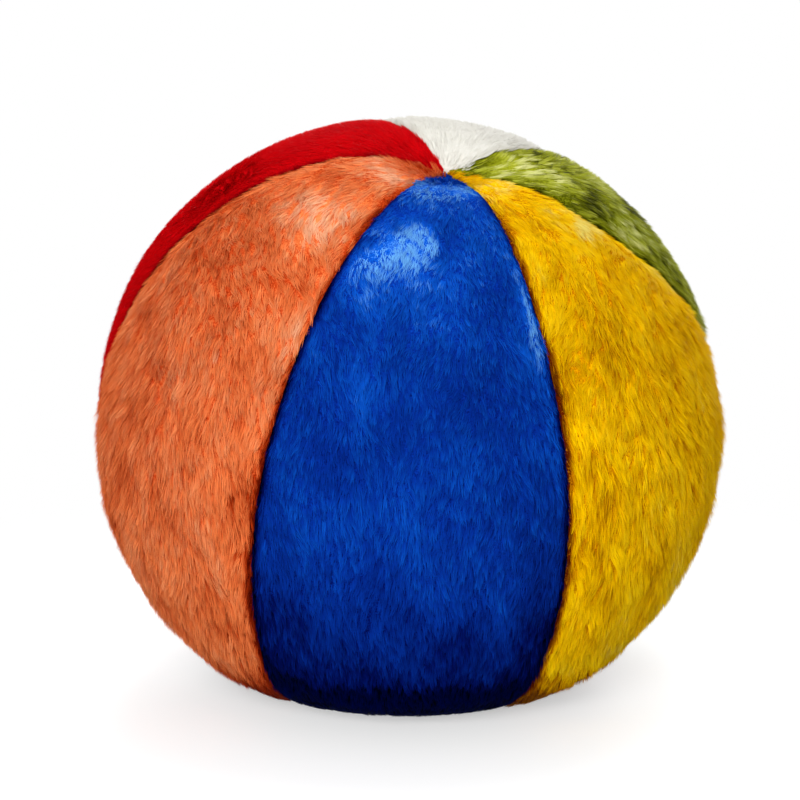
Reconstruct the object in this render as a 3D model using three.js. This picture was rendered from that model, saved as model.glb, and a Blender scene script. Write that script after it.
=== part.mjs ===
// A soft stuffed ball in beach-ball stripes: six pile-fabric gores sewn edge to edge from pole to
// pole, packed with fibre and closed by hand. It has settled on the floor, with its top pole leaning
// towards the front. Millimetres and degrees; +Z is up, -Y is the front, and the floor is at z = 0.
import * as THREE from "three";

// Driving dimensions of the ball
const BALL_DIAMETER = 250; // across the pile at the widest
const SETTLE = 19; // how far the floor has pressed the underside up
const FOOT_EASE = 16; // height over which the sides round into the flat foot
const LEAN_FORWARD = 16; // lean of the top pole towards the front
const LEAN_ASIDE = 4; // lean of the top pole towards +X
const POLE_FLATTENING = 3; // how far each end falls short of a true ball
const TOP_DIMPLE = 10; // how far the sewn tips draw the top pole in
const BOTTOM_DIMPLE = 3; // the same underneath, where the weight has spread the tips
const DIMPLE_RADIUS = 27;
const POLE_SHIFT = 8; // how far the tips at the top meet to one side of the ball's axis
const POLE_SHIFT_REACH = 34; // colatitude by which most of that shift has faded

// Driving dimensions of the pile fabric and its seams
const PILE_LENGTH = 6;
const BACKING_THICKNESS = 1.5;
const BACKING_CROWN = 2.5; // how far the backing swells up from a seam to the middle of a gore
const SEAM_FURROW = 2.5; // how deep the pile parts over a seam
const SEAM_ALLOWANCE = 8; // width of the turned-in edge inside a seam
const ALLOWANCE_THICKNESS = 2.5; // its backing and crushed pile
const TIP_RADIUS = 2; // from the pole to the blunt tip of a gore

// Driving dimensions of the sewing
const THREAD_DIAMETER = 0.8;
const TURNING_GAP = 80; // the stretch that was left open for turning and filling
const TURNING_GAP_MIDDLE = 112; // its middle, down from the top pole
const CLOSING_STITCH = 6; // pitch of the hand stitches that close it
const CLOSING_DEPTH = 2; // how far they swing to either side of their middle line
const CLEARANCE = 0.3; // between pieces that touch
const FILLING_CLEARANCE = 0.6; // between the loose filling and the backing

// How finely the shapes are drawn
const STATIONS = 25; // sections along a gore, from tip to tip
const THREAD_SIDES = 5;
const STEPS_PER_STITCH = 6;
const ACROSS = [-1, -0.85, -0.4, 0, 0.4, 0.85, 1]; // points across a gore, with -1 and 1 on its seams
const LEVEL_SHARE = 0.4; // the middle share of a gore where its pile stays level
const TIP_ALLOWANCE_SHARE = 0.3; // most of a narrow tip's half width that one turned-in edge takes
const PROBE = 0.001; // step for measuring a seam's direction

// Pile colours in order round the ball, towards growing longitude from the front, with the seam before
// each one: its longitude at the widest, and how far it bends back from there to the top pole. The gores
// were cut and sewn by hand, so they are not quite alike.
const GORES = [
  ["blue", 0x0d2d85, -118, 0],
  ["yellow", 0xcc9e0a, -59, 0],
  ["green", 0x82842b, 11, 36],
  ["white", 0xe4e0d8, 62, 24],
  ["red", 0x8f0e10, 115, 0],
  ["orange", 0xcd6133, 184, 0],
];
const CLOSING_SEAM = GORES.findIndex(([colour]) => colour === "red"); // at the back, after the white gore
const THREAD_COLOUR = 0xe8e2d4;
const FIBRE_COLOUR = 0xf2efe6;

const radians = THREE.MathUtils.degToRad;
const RADIUS = BALL_DIAMETER / 2;
const CENTRE_HEIGHT = RADIUS - SETTLE;
const MEAN_HALF_GORE = Math.PI / GORES.length;
const LEAN = new THREE.Euler(radians(LEAN_FORWARD), radians(LEAN_ASIDE), 0, "YXZ");

// Below its centre the ball is round down to ROUND_TO and flat from FLAT_FROM on
const FLAT_FROM = CENTRE_HEIGHT + FOOT_EASE / 2;
const ROUND_TO = CENTRE_HEIGHT - FOOT_EASE / 2;

// Depths below the round skin, measured at a seam
const SEAM_BACKING_DEPTH = PILE_LENGTH + BACKING_THICKNESS + BACKING_CROWN;
const ALLOWANCE_END = SEAM_BACKING_DEPTH + SEAM_ALLOWANCE;
const GROOVE_DEPTH = ALLOWANCE_END + FILLING_CLEARANCE;
const THREAD_DEPTH = SEAM_BACKING_DEPTH + CLEARANCE + THREAD_DIAMETER / 2;

// Colatitudes of the sections, and those where the turning gap starts and ends
const TIP_COLATITUDE = Math.asin(TIP_RADIUS / RADIUS);
const STATION_STEP = (Math.PI - 2 * TIP_COLATITUDE) / (STATIONS - 1);
const LAST = STATIONS - 1;
const GAP_START = radians(TURNING_GAP_MIDDLE) - TURNING_GAP / RADIUS / 2;
const GAP_END = radians(TURNING_GAP_MIDDLE) + TURNING_GAP / RADIUS / 2;
const GAP_FROM = Math.floor((GAP_START - TIP_COLATITUDE) / STATION_STEP);
const GAP_TO = Math.ceil((GAP_END - TIP_COLATITUDE) / STATION_STEP);

const colatitudeOf = (station) => TIP_COLATITUDE + station * STATION_STEP;
const nextSeam = (gore) => (gore + 1) % GORES.length;

// Longitude of a seam, which bends back towards the top pole.
function seamLongitude(seam, colatitude) {
  const [, , widest, bend] = GORES[seam];
  return radians(widest - bend * Math.max(0, Math.cos(colatitude)) ** 2);
}

// Half of a gore's width as an angle, and the longitude of its middle.
function goreSpan(gore, colatitude) {
  const from = seamLongitude(gore, colatitude);
  const to = seamLongitude(nextSeam(gore), colatitude) + (nextSeam(gore) ? 0 : 2 * Math.PI);
  return { half: (to - from) / 2, middle: (to + from) / 2 };
}

// Depth below the ball's centre once it has settled, and how fast it still grows there: it eases off
// along a parabola below ROUND_TO and stops at the floor.
function settled(depth) {
  if (depth <= ROUND_TO) return { depth, slope: 1 };
  if (depth >= FLAT_FROM) return { depth: CENTRE_HEIGHT, slope: 0 };
  const left = FLAT_FROM - depth;
  const slope = left / (FLAT_FROM - ROUND_TO);
  return { depth: CENTRE_HEIGHT - (slope * left) / 2, slope };
}

// How far a colatitude lies from the poles: 0 on a pole, rising to 1 outside its dimple.
function awayFromPole(colatitude) {
  const reach = (RADIUS * Math.sin(colatitude)) / DIMPLE_RADIUS;
  return 1 - Math.exp(-(reach ** 2));
}

// A point on the settled ball's round skin, with the outward direction there. Towards the top the
// meridians bend over to meet at the shifted pole.
function skin(colatitude, longitude) {
  const height = Math.cos(colatitude);
  const bend = Math.exp((height - 1) / (1 - Math.cos(radians(POLE_SHIFT_REACH))));
  const outward = new THREE.Vector3(
    Math.sin(colatitude) * Math.cos(longitude) + (POLE_SHIFT / RADIUS) * bend,
    Math.sin(colatitude) * Math.sin(longitude),
    height,
  );
  outward.normalize().applyEuler(LEAN);
  const drawnIn = (height > 0 ? TOP_DIMPLE : BOTTOM_DIMPLE) * (1 - awayFromPole(colatitude));
  const reach = RADIUS - drawnIn - POLE_FLATTENING * height ** 2;
  const point = outward.clone().multiplyScalar(reach);
  const { depth, slope } = settled(-point.z);
  point.z = CENTRE_HEIGHT - depth;
  outward.set(outward.x * slope, outward.y * slope, outward.z).normalize();
  return { point, outward };
}

// A point at a depth below the skin.
function below(colatitude, longitude, depth) {
  const { point, outward } = skin(colatitude, longitude);
  return point.addScaledVector(outward, -depth);
}

// Depth of the pile's surface: level over the middle of a gore, falling into the furrow at its seams.
function pileDepth(across, colatitude) {
  const past = Math.max(0, Math.abs(across) - LEVEL_SHARE) / (1 - LEVEL_SHARE);
  return SEAM_FURROW * past ** 4 * awayFromPole(colatitude);
}

// Depth of the backing's inner face, which swells up between two seams.
function backingDepth(across) {
  return PILE_LENGTH + BACKING_THICKNESS + BACKING_CROWN * across ** 2;
}

// Half of the space between two gores at a seam, which is wider where the closing stitches run.
function halfGap(seam, station) {
  const handSewn = seam === CLOSING_SEAM && station >= GAP_FROM && station <= GAP_TO;
  return handSewn ? THREAD_DIAMETER / 2 + CLEARANCE : CLEARANCE / 2;
}

// Distance from the seam to the backing of a turned-in edge, which thins out at the tips.
function allowanceSide(seam, station) {
  const halfWidth = MEAN_HALF_GORE * RADIUS * Math.sin(colatitudeOf(station));
  return halfGap(seam, station) + Math.min(ALLOWANCE_THICKNESS, TIP_ALLOWANCE_SHARE * halfWidth);
}

// Directions on a seam: placing a point at a depth below the skin, and to one side of the seam.
function seamPlacer(seam, colatitude) {
  const onSeam = (at) => skin(at, seamLongitude(seam, at));
  const { point, outward } = onSeam(colatitude);
  const along = onSeam(colatitude + PROBE).point.sub(onSeam(colatitude - PROBE).point);
  const sideways = new THREE.Vector3().crossVectors(outward, along).normalize();
  return (depth, side) => point.clone().addScaledVector(outward, -depth).addScaledVector(sideways, side);
}

// Longitude of a point across a gore, between the turned-in edges of its two seams.
function insideLongitude(gore, station, across) {
  const seam = across < 0 ? gore : nextSeam(gore);
  const colatitude = colatitudeOf(station);
  const edge = allowanceSide(seam, station) / (RADIUS * Math.sin(colatitude));
  const { half, middle } = goreSpan(gore, colatitude);
  return middle + across * (half - edge);
}

// Solid through rings of points that all run the same way round. Each end is closed by triangles of
// point numbers, or by a fan to an end point. crossed says after which points of a ring the side faces
// are split along their other diagonal, so that pieces that lie against each other have like facets.
function loft(rings, { caps = [], ends = [], crossed = () => false }) {
  const size = rings[0].length;
  const points = [...rings.flat(), ...ends];
  const faces = [];
  for (let i = 0; i + 1 < rings.length; i++) {
    for (let j = 0; j < size; j++) {
      const a = i * size + j;
      const b = i * size + ((j + 1) % size);
      const d = a + size;
      const c = b + size;
      if (crossed(j)) faces.push([a, d, b], [b, d, c]);
      else faces.push([a, d, c], [a, c, b]);
    }
  }
  const lastRing = (rings.length - 1) * size;
  for (const [a, b, c] of caps) faces.push([a, b, c], [lastRing + a, lastRing + c, lastRing + b]);
  if (ends.length) {
    const first = rings.length * size;
    for (let j = 0; j < size; j++) {
      const next = (j + 1) % size;
      faces.push([first, j, next], [first + 1, lastRing + next, lastRing + j]);
    }
  }
  const geometry = new THREE.BufferGeometry().setFromPoints(points);
  geometry.setIndex(faces.flat());
  geometry.computeVertexNormals();
  return geometry;
}

// One gore: pile and backing, carried from tip to tip, with an edge turned in along each seam.
function goreGeometry(gore) {
  const eastSeam = nextSeam(gore);
  const inner = ACROSS.slice(1, -1);
  const rings = [];
  for (let station = 0; station < STATIONS; station++) {
    const colatitude = colatitudeOf(station);
    const { half, middle } = goreSpan(gore, colatitude);
    const west = seamPlacer(gore, colatitude);
    const east = seamPlacer(eastSeam, colatitude);
    const westFace = halfGap(gore, station);
    const eastFace = -halfGap(eastSeam, station);
    const westBack = allowanceSide(gore, station);
    const eastBack = -allowanceSide(eastSeam, station);
    const furrow = pileDepth(1, colatitude);
    const pile = inner.map((across) =>
      below(colatitude, middle + across * half, pileDepth(across, colatitude)),
    );
    const backing = inner.map((across) =>
      below(colatitude, insideLongitude(gore, station, across), backingDepth(across)),
    );
    const outerChain = [
      west(ALLOWANCE_END, westFace),
      west(furrow, westFace),
      ...pile,
      east(furrow, eastFace),
      east(ALLOWANCE_END, eastFace),
    ];
    const innerChain = [
      west(ALLOWANCE_END, westBack),
      west(SEAM_BACKING_DEPTH, westBack),
      ...backing,
      east(SEAM_BACKING_DEPTH, eastBack),
      east(ALLOWANCE_END, eastBack),
    ];
    rings.push([...outerChain, ...innerChain.reverse()]);
  }
  const size = rings[0].length;
  const caps = [];
  for (let j = 0; j + 1 < size / 2; j++) {
    const across = size - 1 - j;
    caps.push([j, j + 1, across], [j + 1, across - 1, across]);
  }
  const centre = (size / 2 - 1) / 2;
  return loft(rings, { caps, crossed: (j) => j >= centre && j < size - 1 - centre });
}

// A round thread through a list of points, each with the directions across its section.
function threadGeometry(points, sideways) {
  const radius = THREAD_DIAMETER / 2;
  const rings = points.map((point, i) => {
    const before = points[Math.max(0, i - 1)];
    const after = points[Math.min(points.length - 1, i + 1)];
    const along = after.clone().sub(before).normalize();
    const up = new THREE.Vector3().crossVectors(along, sideways[i]).normalize();
    const side = new THREE.Vector3().crossVectors(up, along);
    return Array.from({ length: THREAD_SIDES }, (_, k) => {
      const turn = (-2 * Math.PI * k) / THREAD_SIDES;
      return point
        .clone()
        .addScaledVector(side, radius * Math.cos(turn))
        .addScaledVector(up, radius * Math.sin(turn));
    });
  });
  const caps = [];
  for (let k = 1; k + 1 < THREAD_SIDES; k++) caps.push([0, k, k + 1]);
  return loft(rings, { caps });
}

// Machine thread along one side of a seam, in the corner between the backing and the turned-in edge.
function machineThread(seam, side, from, to) {
  const points = [];
  const sideways = [];
  for (let station = from; station <= to; station++) {
    const place = seamPlacer(seam, colatitudeOf(station));
    const out = allowanceSide(seam, station) + CLEARANCE + THREAD_DIAMETER / 2;
    points.push(place(THREAD_DEPTH, side * out));
    sideways.push(place(0, 1).sub(place(0, 0)));
  }
  return threadGeometry(points, sideways);
}

// Hand-sewn closing thread: it swings in and out between the two gores along the turning gap.
function closingThread() {
  const stitches = Math.max(1, Math.round(TURNING_GAP / CLOSING_STITCH));
  const steps = stitches * STEPS_PER_STITCH;
  const points = [];
  const sideways = [];
  for (let step = 0; step <= steps; step++) {
    const colatitude = THREE.MathUtils.lerp(GAP_START, GAP_END, step / steps);
    const swing = CLOSING_DEPTH * Math.cos((2 * Math.PI * step) / STEPS_PER_STITCH);
    const place = seamPlacer(CLOSING_SEAM, colatitude);
    points.push(place(SEAM_BACKING_DEPTH + swing, 0));
    sideways.push(place(0, 1).sub(place(0, 0)));
  }
  return threadGeometry(points, sideways);
}

// Fibre filling: it fills the skin and leaves a groove for each seam's turned-in edges and threads.
function fillingGeometry() {
  const inner = ACROSS.slice(1, -1);
  const threadRoom = THREAD_DIAMETER + 2 * CLEARANCE;
  const rings = [];
  for (let station = 1; station < LAST; station++) {
    const colatitude = colatitudeOf(station);
    const ring = [];
    for (let gore = 0; gore < GORES.length; gore++) {
      const eastSeam = nextSeam(gore);
      const west = seamPlacer(gore, colatitude);
      const east = seamPlacer(eastSeam, colatitude);
      const westWall = allowanceSide(gore, station) + threadRoom;
      const eastWall = -allowanceSide(eastSeam, station) - threadRoom;
      const edge = threadRoom / (RADIUS * Math.sin(colatitude));
      ring.push(west(GROOVE_DEPTH, westWall), west(SEAM_BACKING_DEPTH + FILLING_CLEARANCE, westWall));
      for (const across of inner) {
        const longitude = insideLongitude(gore, station, across) - across * edge;
        ring.push(below(colatitude, longitude, backingDepth(across) + FILLING_CLEARANCE));
      }
      ring.push(east(SEAM_BACKING_DEPTH + FILLING_CLEARANCE, eastWall), east(GROOVE_DEPTH, eastWall));
    }
    rings.push(ring);
  }
  const endDepth = GROOVE_DEPTH + SEAM_ALLOWANCE / 2;
  const ends = [below(0, 0, endDepth), below(Math.PI, 0, endDepth)];
  const perGore = rings[0].length / GORES.length;
  return loft(rings, { ends, crossed: (j) => j % perGore < (perGore - 1) / 2 });
}

const ball = new THREE.Group();

function add(name, geometry, color, roughness) {
  const material = new THREE.MeshStandardMaterial({ color, roughness, metalness: 0 });
  const mesh = new THREE.Mesh(geometry, material);
  mesh.name = name;
  ball.add(mesh);
}

const PLUSH_ROUGHNESS = 0.9;
const THREAD_ROUGHNESS = 0.6;
const FIBRE_ROUGHNESS = 1;

GORES.forEach(([colour, paint], gore) => {
  add(`${colour}_gore`, goreGeometry(gore), paint, PLUSH_ROUGHNESS);
});

GORES.forEach(([colour], seam) => {
  const [before] = GORES[(seam + GORES.length - 1) % GORES.length];
  const whole = [["", 1, LAST - 1]];
  const parted = [
    ["upper_", 1, GAP_FROM],
    ["lower_", GAP_TO, LAST - 1],
  ];
  for (const [stretch, from, to] of seam === CLOSING_SEAM ? parted : whole) {
    const name = `${before}_${colour}_${stretch}`;
    add(`${name}needle_thread`, machineThread(seam, -1, from, to), THREAD_COLOUR, THREAD_ROUGHNESS);
    add(`${name}bobbin_thread`, machineThread(seam, 1, from, to), THREAD_COLOUR, THREAD_ROUGHNESS);
  }
});

add("closing_thread", closingThread(), THREAD_COLOUR, THREAD_ROUGHNESS);
add("fibre_filling", fillingGeometry(), FIBRE_COLOUR, FIBRE_ROUGHNESS);

export default ball;
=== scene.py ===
"""A stuffed plush ball in beach-ball stripes, dressed over its frame.

Six pile-fabric gores run from pole to pole. Each has a padded backing and a pile of combed locks. Inside
are the sewn seams and the fibre filling. Metres; +Z is up, -Y is the front, and the floor is at z = 0.
"""

import math
from dataclasses import dataclass

import bpy
import numpy as np
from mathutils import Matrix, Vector


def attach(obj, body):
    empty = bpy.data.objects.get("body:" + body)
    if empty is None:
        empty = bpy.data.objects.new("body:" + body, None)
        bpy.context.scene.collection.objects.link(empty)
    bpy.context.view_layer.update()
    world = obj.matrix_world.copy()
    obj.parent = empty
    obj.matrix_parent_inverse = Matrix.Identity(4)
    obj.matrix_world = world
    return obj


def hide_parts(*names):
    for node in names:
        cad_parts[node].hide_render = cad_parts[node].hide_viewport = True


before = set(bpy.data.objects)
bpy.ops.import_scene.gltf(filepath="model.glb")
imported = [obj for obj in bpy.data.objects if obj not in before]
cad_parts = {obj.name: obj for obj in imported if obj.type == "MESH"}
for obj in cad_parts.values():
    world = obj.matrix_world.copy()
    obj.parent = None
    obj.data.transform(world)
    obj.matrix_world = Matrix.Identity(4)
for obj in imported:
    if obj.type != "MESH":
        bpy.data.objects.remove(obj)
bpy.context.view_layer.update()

MM = 0.001
BODY = "root"

# The ball's shape, as the frame has it
RADIUS = 125 * MM
SETTLE = 19 * MM
FOOT_EASE = 16 * MM
LEAN_FORWARD = math.radians(16)
LEAN_ASIDE = math.radians(4)
POLE_FLATTENING = 3 * MM
TOP_DIMPLE = 10 * MM
BOTTOM_DIMPLE = 3 * MM
DIMPLE_RADIUS = 27 * MM
POLE_SHIFT = 8 * MM
POLE_SHIFT_REACH = math.radians(34)
CENTRE_HEIGHT = RADIUS - SETTLE
FLAT_FROM = CENTRE_HEIGHT + FOOT_EASE / 2
ROUND_TO = CENTRE_HEIGHT - FOOT_EASE / 2

# The fabric and its seams, as the frame has them
PILE_LENGTH = 6 * MM
BACKING_THICKNESS = 1.5 * MM
BACKING_CROWN = 2.5 * MM
SEAM_FURROW = 2.5 * MM
SEAM_ALLOWANCE = 8 * MM
ALLOWANCE_THICKNESS = 2.5 * MM
TIP_RADIUS = 2 * MM
LEVEL_SHARE = 0.4
TIP_ALLOWANCE_SHARE = 0.3
CLEARANCE = 0.3 * MM
THREAD_DIAMETER = 0.8 * MM
TURNING_GAP = 80 * MM
TURNING_GAP_MIDDLE = math.radians(112)
SEAM_BACKING_DEPTH = PILE_LENGTH + BACKING_THICKNESS + BACKING_CROWN
ALLOWANCE_END = SEAM_BACKING_DEPTH + SEAM_ALLOWANCE
TIP_COLATITUDE = math.asin(TIP_RADIUS / RADIUS)

# The pile: locks of fine strands
ROOT_DEPTH = 2.6 * MM  # from the pile's mean surface down to where the strands leave the backing
FURROW_ROOTS = 0.4 * MM  # how much further down the roots are at a seam
ROOT_SUNK = 0.4 * MM  # how far a strand starts inside the backing
STRAND_LENGTH = 6 * MM
STRAND_WIDTH = 0.5 * MM
STRAND_THICKNESS = 0.22 * MM
LOCK_AREA = 6 * MM**2  # of the longest pile; a shorter one has smaller locks
LOCK_RADIUS = 1.6 * MM
STRANDS_PER_LOCK = 12
LOCK_CLOSES = 0.6  # how far a lock's strands draw together at their tips
LOCK_SCATTER = 0.6 * MM  # how far the locks stray from an even spread
FLOOR_GAP = 0.25 * MM  # between the floor and the lowest strand
PARTING = math.radians(96)  # colatitude where a gore's upper pile ends and its lower pile begins
UPPER_SEED = 100
LOWER_SEED = 200

# Beside the seams the pile parts, and towards the poles and the foot it closes over them
SEAM_MARGIN = 0.4 * MM  # from a seam to the nearest roots
SEAM_REACH = 3 * MM  # how far the pile parts on either side of a seam
SEAM_TURNS = 0.06  # how far the nap turns away from a seam
SEAM_STEADIES = 0.6  # how much less the nap swings there
SEAM_SHORTENS = 0.15
# painted shade in the seams: how far the tone falls beside them
SEAM_DARKENS = 0.55
CLOSED_RADIUS = 40 * MM  # how far from the axis the pile closes over the seams
FOOT_CLOSES = 0.7
FOOT_CLOSES_FROM = math.radians(106)
FOOT_CLOSES_TO = math.radians(124)

# At the poles the pile is shorter, and its roots rise and fill the dimple
POLE_TUFT = 20 * MM
POLE_RAISES = 0.8
POLE_SHORTENS = 0.5
# Two gores' tips end in rounded domes short of the pole: colatitudes of the dome's top and foot
ROUNDED_TIPS = {
    "blue": (math.radians(5.5), math.radians(12)),
    "green": (math.radians(5), math.radians(10)),
}
OVERHANG = 3.5 * MM  # how far the yellow pile falls over the blue beside the pole
OVERHANG_RING = math.radians(12)
OVERHANG_WIDTH = math.radians(7)

# The nap: down the gore near the top pole, and hanging from its shoulder on
HANG_FROM = math.radians(12)  # colatitude where the pile starts to hang down
HANG_TO = math.radians(42)
HANG_WEIGHT = 1.3  # of the hanging direction against the gore's own
HANG_SEAM = 7 * MM  # how far from a seam the pile still follows it
HANG_LESS = 0.6  # how much less it hangs there
HANG_ABOVE = 0.5  # how far the hanging pile draws in towards the middle above the widest
HANG_BELOW = 1.1  # and below it, towards the foot
HANG_TURNS_FROM = -0.25  # how far down the ball faces where the first starts to turn into the second
HANG_TURNS_TO = 0.35
UP_FROM = 0.25  # how far up the ball faces where the strands start to lie flatter
UP_TO = 0.7
FLATTER_ABOVE = 0.4  # how much flatter the strands lie where the ball faces up
RAISED_ABOVE = 2 * MM  # and how much higher their roots are there
PRESSED_BELOW = 17 * MM  # near the floor the ball's weight presses the pile flat
PRESSED_FLAT = 0.7
CREST_RING = math.radians(12)  # colatitude of the crest round the top dimple
CREST_WIDTH = math.radians(3.5)
CREST_LIFT = 0.25
SHORT_LIFT = 0.5  # lift of a pile without length, as a share of the longest pile's

# Smooth noises that vary the locks: each one's length and seed, and how far it goes
SWING_BROAD_NOISE = (42 * MM, 11)
SWING_BROAD = 0.08
SWING_FINE_NOISE = (13 * MM, 12)
SWING_FINE = 0.14
LIFT_NOISE = (24 * MM, 13)
LIFT_WAVES = 0.1
REACH_NOISE = (30 * MM, 14)
REACH_WAVES = 0.1
TONE_BROAD_NOISE = (34 * MM, 15)
TONE_FINE_NOISE = (9 * MM, 16)
TONE_WAVES = 0.04
RIDGE_PITCH = 8 * MM  # between the wavy ridges that the locks fall into
RIDGE_NOISE = (32 * MM, 19)
RIDGE_WANDER = 2.6
RIDGE_LIFT = 0.1
CLEFT_NOISE = (11 * MM, 20)  # where it is near 0 are the clefts between clumps of locks
CLEFT_WIDTH = 0.35
CLEFT_LOWERS = 0.15
# painted shade in the clefts: how much darker their locks are
CLEFT_DARKENS = 0.17
CLEFT_PALER = 0.05  # how much paler the locks between the clefts are
STRETCHED = np.array([1, 1, 0.45])  # makes a noise longer up and down

# Spreads of what differs from lock to lock and from strand to strand
SWING_SPREAD = 0.12
LIFT_SPREAD = 0.08
REACH_SPREAD = 0.06
TONE_SPREAD = 0.08
BEARING_SPREAD = 0.25
NAP_SPREAD = 0.07
LENGTH_SPREAD = 0.08
RISE_SPREAD = 0.08
ROLL_SPREAD = 0.3
WIDTH_SPREAD = 0.12
STRAND_TONE_SPREAD = 0.025
SPECK_SHARE = 0.06  # of the strands, which are paler
SPECK_PALER = 0.12

# The pile's tone, from 0, dark, through the body's to 1, glint: its dye, with painted light and shade
BODY_TONE = 0.5
LOWEST_TONE = 0.02
HIGHEST_TONE = 0.98
PAINTED_ROOT_SHADE = 0.2  # painted shade deep in the pile: how much paler a strand's tip is than its root
SHEEN_RING = math.radians(28)  # colatitude of the shoulder where a painted sheen pales the pile
SHEEN_WIDTH = math.radians(7)
SHEEN_NOISE = (42 * MM, 4243)  # its patches lie mostly to the left of the front
SHEEN_GRAIN_NOISE = (9 * MM, 18)
SHEEN_GRAIN = 0.3
SHEEN_FROM = -0.5  # level of the noise where a patch starts
SHEEN_TO = 1.3
SHEEN_EDGE_RING = math.radians(44)  # colatitude of the painted sheen along the pile's east edges beside the seams
SHEEN_EDGE_WIDTH = math.radians(16)
SHEEN_EDGE_SHARE = 0.13  # of half the gore's width
# painted light at the top, fading out between these colatitudes
TOP_FROM = math.radians(30)
TOP_TO = math.radians(65)
# painted shade towards the bottom, growing between these colatitudes
FADE_FROM = math.radians(80)
FADE_TO = math.radians(125)
DYE_NOISE = (22 * MM, 22)
DYE_WAVES = 0.07  # how far the dye goes up and down in them, as a share of the contrast
EDGE_SHADE = 0.07  # painted shade: how much darker the pile is along a gore's lower edges, beside the seams
EDGE_SHADE_ACROSS = 0.5  # share of half the gore's width where that starts
EDGE_SHADE_FROM = math.radians(50)
EDGE_SHADE_TO = math.radians(105)
SHADED_BELOW = 29 * MM  # over the floor the pile is darkened with painted shade
SHADED_FROM = 9 * MM
SHADED_DARKENS = 0.62


@dataclass(frozen=True)
class Gore:
    """One gore: the seam before it, its pile's colours from dark to glint, and its nap."""

    seam: float  # longitude at the widest, in degrees
    bend: float  # how many degrees the seam bends back from there to the top pole
    dark: str
    root: str
    body: str
    tip: str
    glint: str
    length: float  # of its strands, as a share of the usual length
    ruffle: float  # how far the nap swings, as a share of the usual swing
    contrast: float  # how far the locks differ in tone
    painted_sheen: float  # how much paler the painted sheen near the top makes the pile
    top: float  # painted light: how much paler the pile is painted towards the top; below 0 it paints shade there
    fade: float  # painted shade: how much darker the pile is painted towards the bottom; below 0 it paints light there
    ground: float  # share by which its ground is darker than the pile, as painted shade under the strands
    shine: float  # specular level of the fibres


GORES = {
    "blue": Gore(
        seam=-118, bend=0,
        dark="#00010e", root="#020f5a", body="#053096", tip="#0c59ca", glint="#6cb2ee",
        length=0.72, ruffle=1.1, contrast=0.42,
        painted_sheen=0.5, top=0.12, fade=0.36, ground=0.26, shine=0.004,
    ),
    "yellow": Gore(
        seam=-59, bend=0,
        dark="#5a1a00", root="#c47c00", body="#f4c800", tip="#f4d014", glint="#f2e27a",
        length=1.0, ruffle=1.6, contrast=0.62,
        painted_sheen=0.42, top=-0.04, fade=-0.12, ground=0.42, shine=0.01,
    ),
    "green": Gore(
        seam=11, bend=36,
        dark="#1a1c00", root="#4c5000", body="#989e1a", tip="#b8bc3e", glint="#dcdc92",
        length=1.0, ruffle=1.6, contrast=1.5,
        painted_sheen=0.1, top=0.0, fade=0.0, ground=0.4, shine=0.02,
    ),
    "white": Gore(
        seam=62, bend=24,
        dark="#c0bab0", root="#d4d0c6", body="#dddbd3", tip="#e2e0d9", glint="#eceae4",
        length=0.8, ruffle=0.3, contrast=0.15,
        painted_sheen=0.0, top=0.0, fade=0.0, ground=0.1, shine=0.03,
    ),
    "red": Gore(
        seam=115, bend=0,
        dark="#2a0103", root="#960209", body="#cc040c", tip="#d0070d", glint="#d6322e",
        length=0.75, ruffle=0.4, contrast=0.3,
        painted_sheen=0.0, top=0.0, fade=0.0, ground=0.2, shine=0.004,
    ),
    "orange": Gore(
        seam=184, bend=0,
        dark="#5a0c02", root="#b83a10", body="#ea7c42", tip="#ea9460", glint="#f2b890",
        length=1.0, ruffle=1.3, contrast=0.68,
        painted_sheen=0.42, top=-0.04, fade=0.0, ground=0.44, shine=0.01,
    ),
}  # fmt: skip
NAMES = list(GORES)

# The photograph's frame and where the ball sits in it
IMAGE_SIDE = 800
BALL_AT_PIXEL = (407.8, 424.8)
BALL_RADIUS_PIXELS = 315
CAMERA_DISTANCE = 12 * RADIUS
CAMERA_ELEVATION = math.radians(12)
SENSOR = 36  # millimetres, in which the lens is given too


def linear(hex_colour):
    """Linear red, green, blue and 1 of an sRGB colour written as #rrggbb, by the sRGB curve."""
    parts = np.array([int(hex_colour[i : i + 2], 16) for i in (1, 3, 5)]) / 255
    curve = np.where(parts <= 0.04045, parts / 12.92, ((parts + 0.055) / 1.055) ** 2.4)
    return (*curve.tolist(), 1.0)


def unit(vectors):
    """Each vector divided by its length."""
    return vectors / np.linalg.norm(vectors, axis=-1, keepdims=True)


def lerp(a, b, t):
    """The value a share t of the way from a to b."""
    return a + (b - a) * t


def ramp(x, low, high):
    """A smooth step from 0 at low to 1 at high: 3 t squared minus 2 t cubed."""
    t = np.clip((x - low) / (high - low), 0, 1)
    return t * t * (3 - 2 * t)


def bell(x, middle, width):
    """A bell curve of height 1."""
    return np.exp(-(((x - middle) / width) ** 2))


def waves(points, wavelength, seed, count=20):
    """Smooth noise of about unit spread: the sum of plane waves in random directions near one length."""
    draw = np.random.default_rng(seed)
    ways = unit(draw.normal(size=(count, 3)))
    turns = 2 * np.pi / (wavelength * draw.uniform(0.7, 1.4, count))
    phase = draw.uniform(0, 2 * np.pi, count)
    return np.cos(points @ (ways * turns[:, None]).T + phase).sum(-1) * math.sqrt(2 / count)


# The ball's surface


def lean_matrix():
    """The ball's lean: a turn about X towards the front, then one about Y to the side."""
    cx, sx = math.cos(LEAN_FORWARD), math.sin(LEAN_FORWARD)
    cy, sy = math.cos(LEAN_ASIDE), math.sin(LEAN_ASIDE)
    about_x = np.array([[1, 0, 0], [0, cx, -sx], [0, sx, cx]])
    about_y = np.array([[cy, 0, sy], [0, 1, 0], [-sy, 0, cy]])
    return about_y @ about_x


LEAN = lean_matrix()


def away_from_pole(colatitude):
    """0 on a pole, rising to 1 outside its dimple: 1 less a bell curve of the distance to the axis."""
    return 1 - bell(RADIUS * np.sin(colatitude), 0, DIMPLE_RADIUS)


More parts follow.
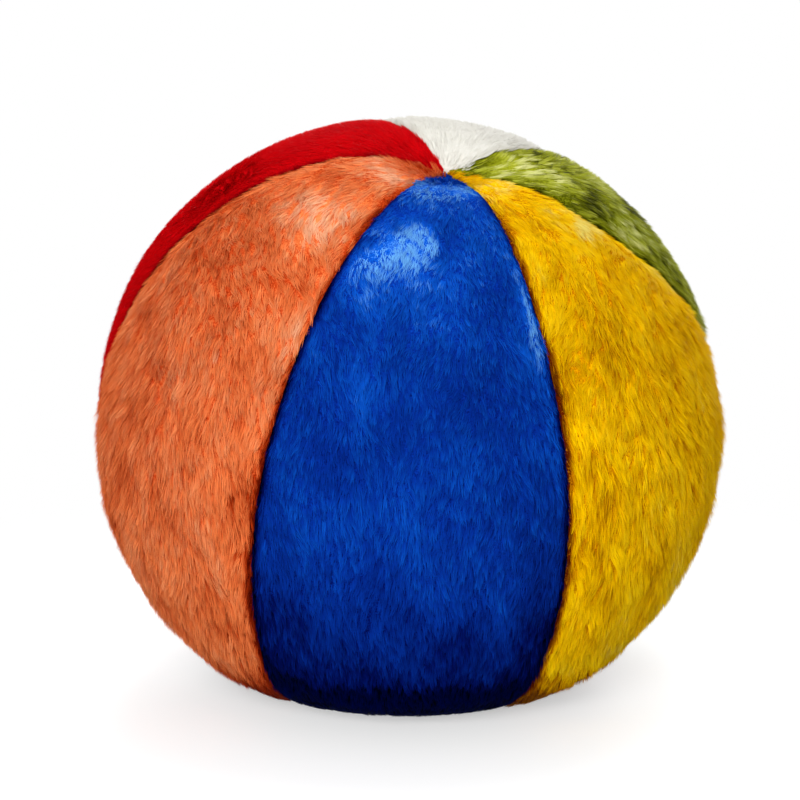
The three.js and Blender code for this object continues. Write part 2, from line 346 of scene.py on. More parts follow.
def skin(colatitude, longitude):
    """Points on the settled ball's skin and the outward directions there.

    A direction on the unit ball bends towards the shifted pole near the top and turns with the lean.
    Its reach is the radius less a bell-shaped dimple and a flattening by the squared height. Below the
    centre the depth eases off along a parabola and stops at the floor.
    """
    colatitude, longitude = np.broadcast_arrays(colatitude, longitude)
    height = np.cos(colatitude)
    bend = np.exp((height - 1) / (1 - math.cos(POLE_SHIFT_REACH)))
    ahead = np.sin(colatitude) * np.cos(longitude) + POLE_SHIFT / RADIUS * bend
    aside = np.sin(colatitude) * np.sin(longitude)
    outward = unit(np.stack([ahead, aside, height], -1)) @ LEAN.T
    dimple = np.where(height > 0, TOP_DIMPLE, BOTTOM_DIMPLE) * (1 - away_from_pole(colatitude))
    reach = RADIUS - dimple - POLE_FLATTENING * height**2
    point = outward * reach[..., None]
    depth = -point[..., 2]
    left = np.clip(FLAT_FROM - depth, 0, FOOT_EASE)
    slope = left / FOOT_EASE
    eased = np.where(depth <= ROUND_TO, depth, CENTRE_HEIGHT - slope * left / 2)
    point = np.concatenate([point[..., :2], CENTRE_HEIGHT - eased[..., None]], -1)
    flat = np.where(depth <= ROUND_TO, 1, slope)[..., None]
    outward = unit(np.concatenate([outward[..., :2] * flat, outward[..., 2:]], -1))
    return point, outward


def seam_longitude(name, colatitude):
    """Longitude of the seam before a gore; it bends back by the squared cosine to the top pole."""
    gore = GORES[name]
    return np.radians(gore.seam - gore.bend * np.clip(np.cos(colatitude), 0, None) ** 2)


def span(name, colatitude):
    """Half of a gore's width as an angle, and the longitude of its middle."""
    after = NAMES[(NAMES.index(name) + 1) % len(NAMES)]
    start = seam_longitude(name, colatitude)
    end = seam_longitude(after, colatitude) + 2 * math.pi * (GORES[after].seam < GORES[name].seam)
    return (end - start) / 2, (end + start) / 2


def on_gore(name, colatitude, across):
    """Skin points of a gore and their outward directions; across runs from -1 to 1 between its seams."""
    half, middle = span(name, colatitude)
    return skin(colatitude, middle + across * half)


def compass(name, colatitude, across):
    """Points of on_gore with the outward, south and east directions.

    South is the chord of a small step down the gore, turned square to the outward direction.
    """
    step = 1e-3
    point, outward = on_gore(name, colatitude, across)
    above = on_gore(name, colatitude - step, across)[0]
    below = on_gore(name, colatitude + step, across)[0]
    east = unit(np.cross(outward, unit(below - above)))
    return point, outward, np.cross(east, outward), east


def tip_share(name, colatitude):
    """Share of a gore's width that its pile takes: a quarter ellipse in a rounded tip, or else 1."""
    if name not in ROUNDED_TIPS:
        return np.ones_like(colatitude)
    top, foot = ROUNDED_TIPS[name]
    along = np.clip((foot - colatitude) / (foot - top), 0, 1)
    rounded = np.sqrt(1 - along**2) * math.sin(foot) / np.sin(colatitude)
    return np.where(colatitude < foot, rounded, 1)


def pile_edges(name, colatitude):
    """The pile's edges as shares of the gore's half width; its neighbours close over rounded tips."""
    place = NAMES.index(name)
    sides = (NAMES[place - 1], NAMES[(place + 1) % len(NAMES)])
    half = span(name, colatitude)[0]
    own = 1 - tip_share(name, colatitude)
    west, east = [(1 - tip_share(n, colatitude)) * span(n, colatitude)[0] / half for n in sides]
    fallen = OVERHANG * bell(colatitude, OVERHANG_RING, OVERHANG_WIDTH)
    fallen = fallen / (half * RADIUS * np.sin(colatitude))
    low = -1 - west + own - fallen * (name == "yellow")
    high = 1 + east - own - fallen * (name == "blue")
    return low, high


def furrow(across, colatitude):
    """Share of the furrow's depth: 0 over a gore's level middle, rising by a fourth power to its seams.

    Towards the poles the pile closes over the seams, by a bell curve of the distance from the axis, and
    towards the foot by a smooth step.
    """
    past = np.clip(np.abs(across) - LEVEL_SHARE, 0, None) / (1 - LEVEL_SHARE)
    closed = bell(RADIUS * np.sin(colatitude), 0, CLOSED_RADIUS)
    at_foot = FOOT_CLOSES * ramp(colatitude, FOOT_CLOSES_FROM, FOOT_CLOSES_TO)
    return past**4 * (1 - closed) * (1 - at_foot)


def facing_up(outward):
    """0 on the ball's sides and below, rising by a smooth step to 1 where it faces up."""
    return ramp(outward[..., 2], UP_FROM, UP_TO)


def root_depth(across, colatitude, outward):
    """Depth of the strands' roots below the skin: more in the furrows, less where the ball faces up."""
    level = ROOT_DEPTH - RAISED_ABOVE * facing_up(outward)
    return level + (SEAM_FURROW + FURROW_ROOTS) * furrow(across, colatitude)


# Meshes


def make_piece(name, vertices, faces, material, uv=None, tone=None):
    """A mesh object from arrays of vertices and of equal-sided faces, riding on the ball.

    Surfaces of four-sided faces are smooth, and the three-sided ones of the strands stay flat.
    """
    mesh = bpy.data.meshes.new(name)
    sides = faces.shape[1]
    mesh.vertices.add(len(vertices))
    mesh.vertices.foreach_set("co", np.ascontiguousarray(vertices, np.float32).ravel())
    mesh.loops.add(faces.size)
    mesh.loops.foreach_set("vertex_index", np.ascontiguousarray(faces, np.int32).ravel())
    mesh.polygons.add(len(faces))
    mesh.polygons.foreach_set("loop_start", np.arange(0, faces.size, sides, dtype=np.int32))
    mesh.polygons.foreach_set("use_smooth", np.full(len(faces), sides == 4))
    if uv is not None:
        layer = mesh.uv_layers.new(name="OFBake")
        layer.data.foreach_set("uv", np.ascontiguousarray(uv, np.float32).ravel())
    if tone is not None:
        own = mesh.attributes.new("tone", "FLOAT", "POINT")
        own.data.foreach_set("value", np.ascontiguousarray(tone, np.float32).ravel())
    mesh.update(calc_edges=True)
    mesh.materials.append(material)
    piece = bpy.data.objects.new(name, mesh)
    bpy.context.scene.collection.objects.link(piece)
    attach(piece, BODY)
    return piece


def tube_faces(rings, size):
    """Four-sided faces between neighbouring rings of a closed section, each ring joined round."""
    ring, place = np.meshgrid(np.arange(rings - 1), np.arange(size), indexing="ij")
    beside = (place + 1) % size
    first, second = ring * size, (ring + 1) * size
    return np.stack([first + place, second + place, second + beside, first + beside], -1).reshape(-1, 4)


# The pile

STRAND_FACES = np.array([(0, 2, 1), (0, 1, 3), (1, 2, 3), (2, 0, 3)])
STRAND_CORNERS = ((0.5, 0.33), (-0.5, 0.33), (0, -0.67))  # of its root, in widths and thicknesses
STRAND_ALONG = np.array([0, 0, 0, 1])  # where its three corners and its tip are up the map
STRAND_BESIDE = np.array([1, -1, 0, 0])  # and across it, in halves of the strand's width there
TONE_WIDTH = 0.004  # half of a strand's width on the map
ROOT_FACE_HEIGHT = 0.02  # of the triangle at its root, on the map
GOLDEN_ANGLE = 2.39996  # radians
PLASTIC_POWERS = np.array([0.7548776662466927, 0.5698402909980532])  # 1 over it and over its square


def strand_meshes(root, tip, side, width, tone):
    """Closed three-sided strands, each from a triangle at its root to a point at its tip.

    The triangle lies across the strand with a flat side up. The map holds the strand's tone across and
    the way from root to tip upwards, so strands of one tone share their place on it.
    """
    ahead = unit(tip - root)
    side = unit(side - ahead * (side * ahead).sum(-1, keepdims=True))
    up = np.cross(ahead, side)
    thickness = width * STRAND_THICKNESS / STRAND_WIDTH
    corners = [side * (width * a)[:, None] + up * (thickness * b)[:, None] for a, b in STRAND_CORNERS]
    vertices = np.stack([*(root + corner for corner in corners), tip], 1)
    vertices[..., 2] = np.maximum(vertices[..., 2], FLOOR_GAP)
    points = vertices.shape[1]
    faces = (np.arange(len(root))[:, None, None] * points + STRAND_FACES).reshape(-1, 3)
    across = tone[:, None] + TONE_WIDTH * STRAND_BESIDE
    along = np.broadcast_to(STRAND_ALONG, across.shape)
    uv = np.stack([across, along], -1)[:, STRAND_FACES]
    uv[:, 0, 2, 1] += ROOT_FACE_HEIGHT
    return vertices.reshape(-1, 3), faces, uv.reshape(-1, 2)


def spread(count):
    """Evenly scattered pairs from 0 to 1: multiples of the plastic number's powers, less whole parts."""
    steps = np.arange(1, count + 1)[:, None] * PLASTIC_POWERS
    return (0.5 + steps) % 1


def painted_sheen_mask(point, colatitude, across):
    """How strong the painted sheen is: in patches on the shoulder, on the east edge and on the crest."""
    noise = waves(point, *SHEEN_NOISE) + SHEEN_GRAIN * waves(point, *SHEEN_GRAIN_NOISE)
    shoulder = ramp(noise, SHEEN_FROM, SHEEN_TO) * bell(colatitude, SHEEN_RING, SHEEN_WIDTH)
    edge = bell(across, 1, SHEEN_EDGE_SHARE) * bell(colatitude, SHEEN_EDGE_RING, SHEEN_EDGE_WIDTH)
    crest = bell(colatitude, CREST_RING, CREST_WIDTH)
    return np.maximum(np.maximum(shoulder, edge), crest)


def base_tone(name, point, colatitude, across, by_seam):
    """Tone of a gore's pile before its locks differ: its dye, with painted light and painted shade.

    It rises with painted light towards the top and with the painted sheen. It falls with painted shade
    towards the bottom, in the seams, over the floor and along the lower edges; a negative share for the
    top or the bottom paints the other way. It goes up and down in broad waves.
    """
    gore = GORES[name]
    # painted sheen: paler pile on the shoulder, the east edges and the crest
    tone = BODY_TONE + gore.painted_sheen * painted_sheen_mask(point, colatitude, across)
    # painted light towards the top; a negative share paints shade there
    tone += gore.top * (1 - ramp(colatitude, TOP_FROM, TOP_TO))
    # painted shade towards the bottom; a negative share paints light there
    tone -= gore.fade * ramp(colatitude, FADE_FROM, FADE_TO)
    tone += gore.contrast * DYE_WAVES * waves(point * STRETCHED, *DYE_NOISE)
    # painted shade along the gore's lower edges, towards the seams
    shaded_edges = ramp(np.abs(across), EDGE_SHADE_ACROSS, 1) * ramp(colatitude, EDGE_SHADE_FROM, EDGE_SHADE_TO)
    tone -= gore.ruffle * EDGE_SHADE * shaded_edges
    # painted shade in the seams, less where the pile closes over them
    closed = bell(RADIUS * np.sin(colatitude), 0, CLOSED_RADIUS)
    # painted shade over the floor
    shaded = 1 - ramp(point[..., 2], SHADED_FROM, SHADED_BELOW)
    return tone - SEAM_DARKENS * by_seam**2 * (1 - closed) - SHADED_DARKENS * shaded


@dataclass(frozen=True)
class Locks:
    """Where a gore's locks stand, and how each one's strands turn, swing, lift, reach and are dyed."""

    colatitude: np.ndarray
    across: np.ndarray
    turn: np.ndarray
    swing: np.ndarray
    lift: np.ndarray
    reach: np.ndarray
    tone: np.ndarray


def place_locks(name, top, bottom, draw):
    """Places of a gore's locks between two colatitudes.

    They are scattered evenly by area, because the cosine of the colatitude and the longitude both run
    evenly, and then stray a little.
    """
    levels = np.linspace(math.cos(top), math.cos(bottom))
    area = 2 * span(name, np.arccos(levels))[0].mean() * RADIUS**2 * (levels[0] - levels[-1])
    even = spread(int(area / (LOCK_AREA * GORES[name].length**2)))
    colatitude = np.arccos(lerp(math.cos(top), math.cos(bottom), even[:, 0]))
    low, high = pile_edges(name, colatitude)
    kept = low < high
    colatitude = colatitude[kept]
    across = lerp(low, high, even[:, 1])[kept]
    stray = draw.normal(0, LOCK_SCATTER, (2, len(across)))
    colatitude = np.clip(colatitude + stray[0] / RADIUS, top, bottom)
    across += stray[1] / (span(name, colatitude)[0] * RADIUS * np.sin(colatitude))
    return colatitude, across


def make_locks(name, top, bottom, draw):
    """A gore's locks between two colatitudes, varied by smooth noises and by chance.

    Wavy ridges run down the gore: a cosine of the distance from its middle line, shifted by noise.
    Clefts between clumps of locks lie where another noise is near 0. They are lower, and painted shade
    darkens them.
    """
    gore = GORES[name]
    colatitude, across = place_locks(name, top, bottom, draw)
    count = len(across)
    turn = draw.uniform(0, 2 * np.pi, count)
    point = on_gore(name, colatitude, across)[0]
    aside = across * span(name, colatitude)[0] * RADIUS * np.sin(colatitude)
    ridges = np.cos(2 * np.pi * aside / RIDGE_PITCH + RIDGE_WANDER * waves(point, *RIDGE_NOISE))
    clefts = bell(waves(point * STRETCHED, *CLEFT_NOISE), 0, CLEFT_WIDTH)
    swing = SWING_BROAD * waves(point, *SWING_BROAD_NOISE) + SWING_FINE * waves(point, *SWING_FINE_NOISE)
    swing = gore.ruffle * swing + draw.normal(0, SWING_SPREAD, count)
    lift = 1 + gore.ruffle * (LIFT_WAVES * waves(point, *LIFT_NOISE) + RIDGE_LIFT * ridges)
    lift = (lift + draw.normal(0, LIFT_SPREAD, count)) * lerp(SHORT_LIFT, 1, gore.length)
    lift += CREST_LIFT * bell(colatitude, CREST_RING, CREST_WIDTH) - CLEFT_LOWERS * gore.ruffle * clefts
    reach = 1 + REACH_WAVES * waves(point, *REACH_NOISE) + draw.normal(0, REACH_SPREAD, count)
    patch = TONE_WAVES * (waves(point, *TONE_BROAD_NOISE) + waves(point, *TONE_FINE_NOISE) + ridges)
    # painted shade darkens the clefts
    patch += CLEFT_PALER - CLEFT_DARKENS * clefts
    tone = gore.contrast * (patch + draw.normal(0, TONE_SPREAD, count))
    return Locks(colatitude, across, turn, swing, lift, gore.length * STRAND_LENGTH * reach, tone)


def combed(outward, south, east, colatitude, from_edge):
    """The combed nap's bearing, from south towards west.

    Near the top pole and beside the seams the pile follows the gore. Further down it hangs: it takes
    the steepest way down, drawn in from both sides towards the middle.
    """
    fall = outward * outward[:, 2:] - np.array([0, 0, 1])
    drawn_in = lerp(HANG_ABOVE, HANG_BELOW, ramp(-outward[:, 2], HANG_TURNS_FROM, HANG_TURNS_TO))
    fall[:, 0] = -outward[:, 0] * drawn_in
    hanging = ramp(colatitude, HANG_FROM, HANG_TO) * (1 - HANG_LESS * bell(from_edge, 0, HANG_SEAM))
    way = lerp(south, HANG_WEIGHT * fall, hanging[:, None])
    return np.arctan2(-(way * east).sum(-1), (way * south).sum(-1))


def pile(name, part, top, bottom, seed, material):
    """The strands of one gore between two colatitudes.

    A lock's strands start on a small disc, at the golden angle from one to the next, and close up
    towards one tip. They follow the combed nap, which swings from lock to lock and parts at the seams.
    They lie flatter where the ball faces up and over the floor. Round the poles the roots rise and the
    strands are shorter.
    """
    gore = GORES[name]
    draw = np.random.default_rng(seed)
    locks = make_locks(name, top, bottom, draw)
    strands = round(STRANDS_PER_LOCK * gore.length**2)
    lock = np.repeat(np.arange(len(locks.turn)), strands)
    strand = np.tile(np.arange(strands), len(locks.turn))
    count = len(lock)

    out = LOCK_RADIUS * gore.length * np.sqrt((strand + 0.5) / strands)
    bearing = locks.turn[lock] + strand * GOLDEN_ANGLE + draw.normal(0, BEARING_SPREAD, count)
    southward = out * np.cos(bearing)
    eastward = out * np.sin(bearing)
    colatitude = locks.colatitude[lock] + southward / RADIUS
    colatitude = np.clip(colatitude, TIP_COLATITUDE, math.pi - TIP_COLATITUDE)
    girth = RADIUS * np.sin(colatitude)
    half_width = span(name, colatitude)[0] * girth
    low, high = pile_edges(name, colatitude)
    margin = np.minimum(SEAM_MARGIN / half_width, (high - low) / 4)
    across = np.clip(locks.across[lock] + eastward / half_width, low + margin, high - margin)
    point, outward, south, east = compass(name, colatitude, across)
    from_edge = np.minimum(across - low, high - across) * half_width
    by_seam = bell(from_edge, 0, SEAM_REACH)
    by_pole = bell(girth, 0, POLE_TUFT)

    nap = combed(outward, south, east, colatitude, from_edge)
    nap += locks.swing[lock] * (1 - SEAM_STEADIES * by_seam)
    nap += SEAM_TURNS * np.sign(across) * by_seam + draw.normal(0, NAP_SPREAD, count)
    ahead = south * np.cos(nap)[:, None] - east * np.sin(nap)[:, None]
    side = np.cross(outward, ahead)
    depth = root_depth(across, colatitude, outward) * (1 - POLE_RAISES * by_pole)
    root = point - outward * (depth + ROOT_SUNK)[:, None]
    length = locks.reach[lock] * (1 + draw.normal(0, LENGTH_SPREAD, count))
    length *= (1 - SEAM_SHORTENS * by_seam) * (1 - POLE_SHORTENS * by_pole)
    pressed = 1 - ramp(point[:, 2], PRESSED_BELOW / 2, PRESSED_BELOW)
    rise = (ROOT_DEPTH + ROOT_SUNK) * locks.lift[lock] * (1 + draw.normal(0, RISE_SPREAD, count))
    rise *= (1 - PRESSED_FLAT * pressed) * (1 - FLATTER_ABOVE * facing_up(outward) * (1 - by_pole))
    closing = -LOCK_CLOSES * (eastward * np.cos(nap) + southward * np.sin(nap))
    tip = root + ahead * length[:, None] + outward * rise[:, None] + side * closing[:, None]
    roll = draw.normal(0, ROLL_SPREAD, count)[:, None]
    wide = side * np.cos(roll) + outward * np.sin(roll)
    width = STRAND_WIDTH * (1 + draw.normal(0, WIDTH_SPREAD, count))

    specks = SPECK_PALER * (draw.random(count) < SPECK_SHARE)
    tone = locks.tone[lock] + gore.contrast * (draw.normal(0, STRAND_TONE_SPREAD, count) + specks)
    tone += base_tone(name, point, colatitude, across, by_seam)
    tone = np.clip(tone, LOWEST_TONE, HIGHEST_TONE)
    vertices, faces, uv = strand_meshes(root, tip, wide, width, tone)
    return make_piece(f"{name}_pile_{part}", vertices, faces, material, uv)


# Backing, seams and filling

BACKING_STATIONS = 121
BACKING_ACROSS = 45
LUMP_NOISE = (11 * MM, 21)
LUMP_HEIGHT = 0.25 * MM
LUMPS_WITHIN = 0.97  # of half the gore's width
OPENED_BEFORE = "red"  # the seam before this gore was left open for filling and closed by hand


def half_gap(closing, colatitude):
    """Half of the space between two gores at a seam, wider where the hand stitches run."""
    away = np.abs(colatitude - TURNING_GAP_MIDDLE) * RADIUS
    return np.where(closing & (away < TURNING_GAP / 2), THREAD_DIAMETER / 2 + CLEARANCE, CLEARANCE / 2)


def allowance_width(colatitude):
    """Thickness of one turned-in edge, which thins out at the tips."""
    half_width = math.pi / len(GORES) * RADIUS * np.sin(colatitude)
    return np.minimum(ALLOWANCE_THICKNESS, TIP_ALLOWANCE_SHARE * half_width)


def backing(name, material):
    """One gore's padded backing: a closed section carried from tip to tip.

    The section runs from the foot of the west seam's turned-in edge over the outer face, where the
    strands are rooted, to the east one's foot, and back along the inner face. Its faces have small
    swells of noise. The outer face carries a tone: the pile's, with its painted light and shade,
    darkened by the ground's share as painted shade under the strands.
    """
    after = NAMES[(NAMES.index(name) + 1) % len(NAMES)]
    colatitude = np.linspace(TIP_COLATITUDE, math.pi - TIP_COLATITUDE, BACKING_STATIONS)[:, None]
    half_width = span(name, colatitude)[0] * (RADIUS * np.sin(colatitude))
    west = half_gap(name == OPENED_BEFORE, colatitude)
    east = half_gap(after == OPENED_BEFORE, colatitude)
    thick = allowance_width(colatitude)
    even = np.linspace(0, 1, BACKING_ACROSS)[None, :]
    ends = even[:, [0, -1]]

    def placed(inset, share, depth):
        """Points a share of the way between the two seams, less an inset, at a depth below the skin."""
        low = -1 + (west + inset) / half_width
        high = 1 - (east + inset) / half_width
        across = lerp(low, high, share)
        point, outward = on_gore(name, colatitude, across)
        lumps = LUMP_HEIGHT * waves(point, *LUMP_NOISE) * (np.abs(across) < LUMPS_WITHIN)
        return point - outward * (depth(across, outward) + lumps)[..., None]

    def outer_depth(across, outward):
        """Depth of the face where the strands are rooted."""
        return root_depth(across, colatitude, outward)

    def inner_depth(across, _):
        """Depth of the inner face, which grows by the square of the distance from the gore's middle."""
        return PILE_LENGTH + BACKING_THICKNESS + BACKING_CROWN * across**2

    def end_depth(across, _):
        """Depth of the turned-in edges' ends."""
        return np.full(across.shape, ALLOWANCE_END)

    outer = placed(0, even, outer_depth)
    inner = placed(thick, even, inner_depth)
    feet = placed(0, ends, end_depth)
    toes = placed(thick, ends, end_depth)
    section = [feet[:, :1], outer, feet[:, 1:], toes[:, 1:], inner[:, ::-1], toes[:, :1]]
    rings = np.concatenate(section, 1)
    size = rings.shape[1]
    across = 2 * even - 1
    by_seam = bell((1 - np.abs(across)) * half_width, 0, SEAM_REACH)
    # painted shade under the strands: the ground is darker than the pile by its share
    ground = base_tone(name, outer, colatitude, across, by_seam) * (1 - GORES[name].ground)
    tone = np.zeros((BACKING_STATIONS, size))
    tone[:, 1 : 1 + BACKING_ACROSS] = ground
    vertices = rings.reshape(-1, 3)
    near = np.arange(size // 2 - 1)
    far = size - 1 - near
    cap = np.stack([near, near + 1, far - 1, far], -1)
    last = (BACKING_STATIONS - 1) * size
    faces = np.concatenate([tube_faces(BACKING_STATIONS, size), cap, last + cap[:, ::-1]])
    piece = make_piece(f"{name}_backing", vertices, faces, material, tone=tone)
    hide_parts(f"{name}_gore")
    return piece


# Materials

DYE_STOPS = (0.0, 0.22, BODY_TONE, 0.75, 1.0)  # tones of the dark, root, body, tip and glint colours
GROUND_MOTTLE = 0.7  # how far the ground's tone goes up and down with its noise
GROUND_BUMP = 0.5 * MM


def new_material(name):
    """A node material, its node tree and its Principled shader."""
    material = bpy.data.materials.new(name)
    material.use_nodes = True
    tree = material.node_tree
    return material, tree, tree.nodes["Principled BSDF"]


def add_node(tree, kind, settings=None, **inputs):
    """A node with its settings, whose inputs are constants or links from other sockets.

    An input goes by its socket's name, or by the letter i and its socket's number.
    """
    node = tree.nodes.new(kind)
    for key, value in (settings or {}).items():
        setattr(node, key, value)
    for key, value in inputs.items():
        socket = node.inputs[int(key[1:])] if key[0] == "i" and key[1:].isdigit() else node.inputs[key]
        if isinstance(value, bpy.types.NodeSocket):
            tree.links.new(value, socket)
        else:
            socket.default_value = value
    return node


def colour_stops(node, stops):
    """Sets a colour ramp's stops from pairs of place and colour."""
    elements = node.color_ramp.elements
    while len(elements) < len(stops):
        elements.new(0.5)
    for element, (place, colour) in zip(elements, stops):
        element.position = place
        element.color = colour


def math_node(tree, operation, *values):
    """The output of a maths node, whose inputs are constants or other sockets."""
    inputs = {f"i{place}": value for place, value in enumerate(values)}
    return add_node(tree, "ShaderNodeMath", {"operation": operation}, **inputs).outputs[0]


def about_zero(tree, value, reach):
    """A value from 0 to 1, stretched to a reach and centred on 0."""
    return math_node(tree, "MULTIPLY_ADD", value, reach, -reach / 2)


def object_noise(tree, scale, detail):
    """Noise on a piece's own coordinates."""
    place = add_node(tree, "ShaderNodeTexCoord").outputs["Object"]
    return add_node(tree, "ShaderNodeTexNoise", Vector=place, Scale=scale, Detail=detail).outputs[0]


def dye(tree, gore, tone):
    """A gore's colour for a tone, painted light and shade included: a ramp from its dark by way of its
    body to its glint.
    """
    shades = add_node(tree, "ShaderNodeValToRGB", Fac=tone)
    colours = (gore.dark, gore.root, gore.body, gore.tip, gore.glint)
    colour_stops(shades, [(place, linear(colour)) for place, colour in zip(DYE_STOPS, colours)])
    return shades.outputs[0]


def pile_material(name):
    """Pile coloured by each strand's tone, which rises from its root to its tip as painted shade deep in
    the pile.
    """
    gore = GORES[name]
    material, tree, shader = new_material(f"{name}_pile")
    place = add_node(tree, "ShaderNodeUVMap", {"uv_map": "OFBake"})
    parts = add_node(tree, "ShaderNodeSeparateXYZ", i0=place.outputs[0])
    # painted shade deep in the pile: the tone rises from root to tip
    tone = math_node(tree, "ADD", parts.outputs[0], about_zero(tree, parts.outputs[1], PAINTED_ROOT_SHADE))
    tree.links.new(dye(tree, gore, tone), shader.inputs["Base Color"])
    shader.inputs["Roughness"].default_value = 0.5
    shader.inputs["Specular IOR Level"].default_value = gore.shine
    shader.inputs["Specular Tint"].default_value = linear(gore.glint)
    shader.inputs["Sheen Weight"].default_value = 0.01
    shader.inputs["Sheen Roughness"].default_value = 0.4
    shader.inputs["Sheen Tint"].default_value = linear(gore.glint)
    return material


def backing_material(name):
    """The ground of the pile, coloured by its own tone, which holds painted light and shade, and mottled
    by noise.
    """
    gore = GORES[name]
    material, tree, shader = new_material(f"{name}_backing")
    noise = object_noise(tree, 1400.0, 2.0)
    own = add_node(tree, "ShaderNodeAttribute", {"attribute_name": "tone"})
    tone = math_node(tree, "ADD", own.outputs["Fac"], about_zero(tree, noise, GROUND_MOTTLE))
    tree.links.new(dye(tree, gore, tone), shader.inputs["Base Color"])
    bump = add_node(tree, "ShaderNodeBump", Strength=0.5, Distance=GROUND_BUMP, Height=noise)
    tree.links.new(bump.outputs[0], shader.inputs["Normal"])
    shader.inputs["Roughness"].default_value = 0.9
    shader.inputs["Specular IOR Level"].default_value = gore.shine
    return material


def mottled_material(name, scale, detail, dark, pale):
    """A material that goes from a dark to a pale shade by noise, and its Principled shader."""
    material, tree, shader = new_material(name)
    shades = add_node(tree, "ShaderNodeValToRGB", Fac=object_noise(tree, scale, detail))
    colour_stops(shades, [(0.3, linear(dark)), (0.7, linear(pale))])
    tree.links.new(shades.outputs[0], shader.inputs["Base Color"])
    return material, shader


def thread_material():
    """Pale sewing thread with a fine mottle."""
    material, shader = mottled_material("sewing_thread", 2500.0, 2.0, "#c9c1ae", "#efe9dc")
    shader.inputs["Roughness"].default_value = 0.6
    return material


def fibre_material():
    """White filling fibre with soft cloudy tufts."""
    material, shader = mottled_material("polyester_fibre", 160.0, 6.0, "#dcd8cc", "#f6f3ea")
    shader.inputs["Roughness"].default_value = 1.0
    shader.inputs["Sheen Weight"].default_value = 0.3
    return material


# Floor, light and camera

WHITE = (1, 1, 1, 1)
FLOOR_REACH = 6.0
LIT_WITHIN = 0.1  # distance from the ball's middle where the lit floor starts to fade
WHITE_FROM = 0.34
FLOOR_COLOUR = (0.75, 0.75, 0.75, 1)
FLOOR_GLOW = 0.45
BOUNCE_COLOUR = (0.2, 0.2, 0.2, 1)  # of the floor, for the light that it throws up at the ball
SKY_STRENGTH = 0.52


def seen_directly(tree):
    """1 for rays from the camera, also by gloss or glass, and 0 for light that falls on things."""
    rays = add_node(tree, "ShaderNodeLightPath").outputs
    glossy = math_node(tree, "MAXIMUM", rays["Is Camera Ray"], rays["Is Glossy Ray"])
    return math_node(tree, "MAXIMUM", glossy, rays["Is Transmission Ray"])


def make_floor():
    """A wide pale floor that fades to plain white away from the ball's shadow.

    It throws little light up at the ball, and what the camera sees of it turns from lit floor to white
    between two distances from the ball.
    """
    side = FLOOR_REACH
    corners = [(-side, -side, 0), (side, -side, 0), (side, side, 0), (-side, side, 0)]
    mesh = bpy.data.meshes.new("floor")
    mesh.from_pydata(corners, [], [(0, 1, 2, 3)])
    material, tree, shader = new_material("floor")
    tree.nodes.remove(shader)
    place = add_node(tree, "ShaderNodeTexCoord").outputs["Object"]
    away = add_node(tree, "ShaderNodeVectorMath", {"operation": "LENGTH"}, i0=place).outputs["Value"]
    smooth = {"interpolation_type": "SMOOTHSTEP"}
    limits = {"i1": LIT_WITHIN, "i2": WHITE_FROM, "i3": 0.0, "i4": 1.0}
    far = add_node(tree, "ShaderNodeMapRange", smooth, i0=away, **limits)
    lit = add_node(tree, "ShaderNodeBsdfDiffuse", Color=FLOOR_COLOUR).outputs[0]
    glow = add_node(tree, "ShaderNodeEmission", Color=WHITE, Strength=FLOOR_GLOW).outputs[0]
    pale = add_node(tree, "ShaderNodeAddShader", i0=lit, i1=glow).outputs[0]
    white = add_node(tree, "ShaderNodeEmission", Color=WHITE, Strength=1.0).outputs[0]
    shown = add_node(tree, "ShaderNodeMixShader", i0=far.outputs[0], i1=pale, i2=white).outputs[0]
    dull = add_node(tree, "ShaderNodeBsdfDiffuse", Color=BOUNCE_COLOUR).outputs[0]
    mix = add_node(tree, "ShaderNodeMixShader", i0=seen_directly(tree), i1=dull, i2=shown)
    tree.links.new(mix.outputs[0], tree.nodes["Material Output"].inputs["Surface"])
    mesh.materials.append(material)
    floor = bpy.data.objects.new("floor", mesh)
    bpy.context.scene.collection.objects.link(floor)


def make_world():
    """Soft even light from all round; the camera sees plain white behind the floor."""
    world = bpy.data.worlds.new("studio")
    bpy.context.scene.world = world
    world.use_nodes = True
    tree = world.node_tree
    background = tree.nodes["Background"]
    seen = seen_directly(tree)
    strength = add_node(tree, "ShaderNodeMix", {"data_type": "FLOAT"}, i0=seen, i2=SKY_STRENGTH, i3=1.0)
    tree.links.new(strength.outputs[0], background.inputs["Strength"])
    background.inputs["Color"].default_value = WHITE


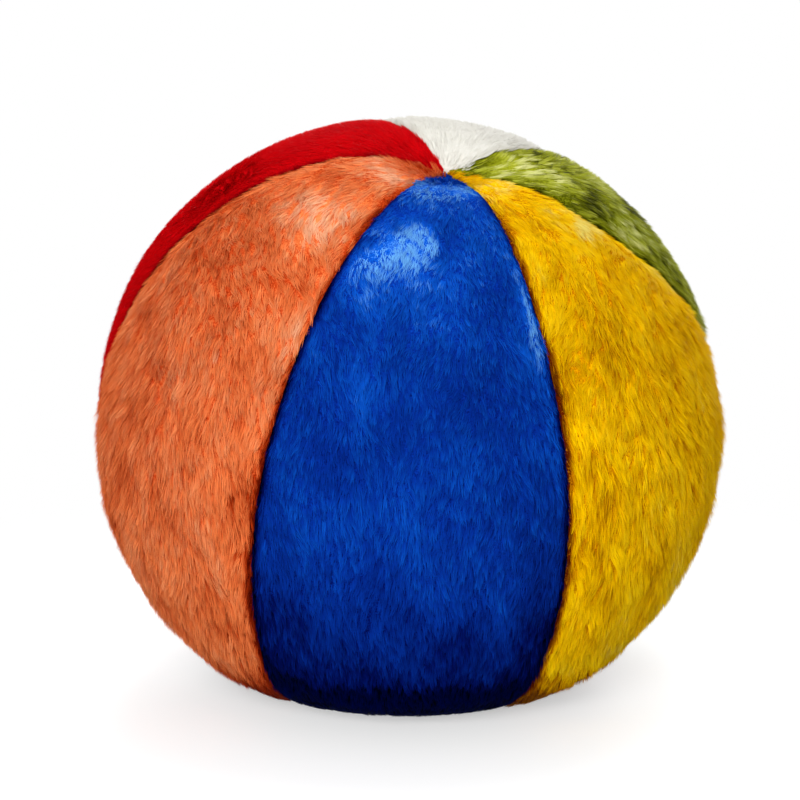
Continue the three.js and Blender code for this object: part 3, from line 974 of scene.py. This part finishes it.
def area_light(name, place, side, power):
    """A square softbox that looks at the ball's centre."""
    data = bpy.data.lights.new(name, "AREA")
    data.size = side
    data.energy = power
    lamp = bpy.data.objects.new(name, data)
    lamp.location = place
    aim = Vector((0, 0, CENTRE_HEIGHT)) - lamp.location
    lamp.rotation_euler = aim.to_track_quat("-Z", "Y").to_euler()
    bpy.context.scene.collection.objects.link(lamp)


def make_camera():
    """A camera with the ball's centre on its pixel: it looks past it by the pixels' offset there."""
    ratio = CAMERA_DISTANCE / RADIUS
    focal_pixels = BALL_RADIUS_PIXELS * math.sqrt(ratio**2 - 1)
    centre = Vector((0, 0, CENTRE_HEIGHT))
    back = Vector((0, -math.cos(CAMERA_ELEVATION), math.sin(CAMERA_ELEVATION)))
    up = Vector((0, math.sin(CAMERA_ELEVATION), math.cos(CAMERA_ELEVATION)))
    per_pixel = CAMERA_DISTANCE / focal_pixels
    right_by = (IMAGE_SIDE / 2 - BALL_AT_PIXEL[0]) * per_pixel
    up_by = (BALL_AT_PIXEL[1] - IMAGE_SIDE / 2) * per_pixel
    aim = centre + Vector((right_by, 0, 0)) + up * up_by
    data = bpy.data.cameras.new("camera")
    data.sensor_width = SENSOR
    data.lens = focal_pixels / IMAGE_SIDE * SENSOR
    camera = bpy.data.objects.new("camera", data)
    camera.location = centre + back * CAMERA_DISTANCE
    camera.rotation_euler = (aim - camera.location).to_track_quat("-Z", "Y").to_euler()
    bpy.context.scene.collection.objects.link(camera)
    bpy.context.scene.camera = camera


make_camera()
make_world()
make_floor()
area_light("key", place=(-0.35, -2.1, 0.6), side=1.3, power=56)
area_light("top", place=(0.1, 0.5, 1.5), side=0.9, power=7)
area_light("back", place=(0.5, 2.1, 0.7), side=1.3, power=30)

for number, gore_name in enumerate(GORES):
    backing(gore_name, backing_material(gore_name))
    fur = pile_material(gore_name)
    pile(gore_name, "upper", TIP_COLATITUDE, PARTING, UPPER_SEED + number, fur)
    pile(gore_name, "lower", PARTING, math.pi - TIP_COLATITUDE, LOWER_SEED + number, fur)

thread = thread_material()
fibre = fibre_material()
for node_name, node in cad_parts.items():
    if not node_name.endswith("_gore"):
        node.data.materials.clear()
        node.data.materials.append(fibre if node_name == "fibre_filling" else thread)

bpy.context.scene.view_settings.view_transform = "Standard"
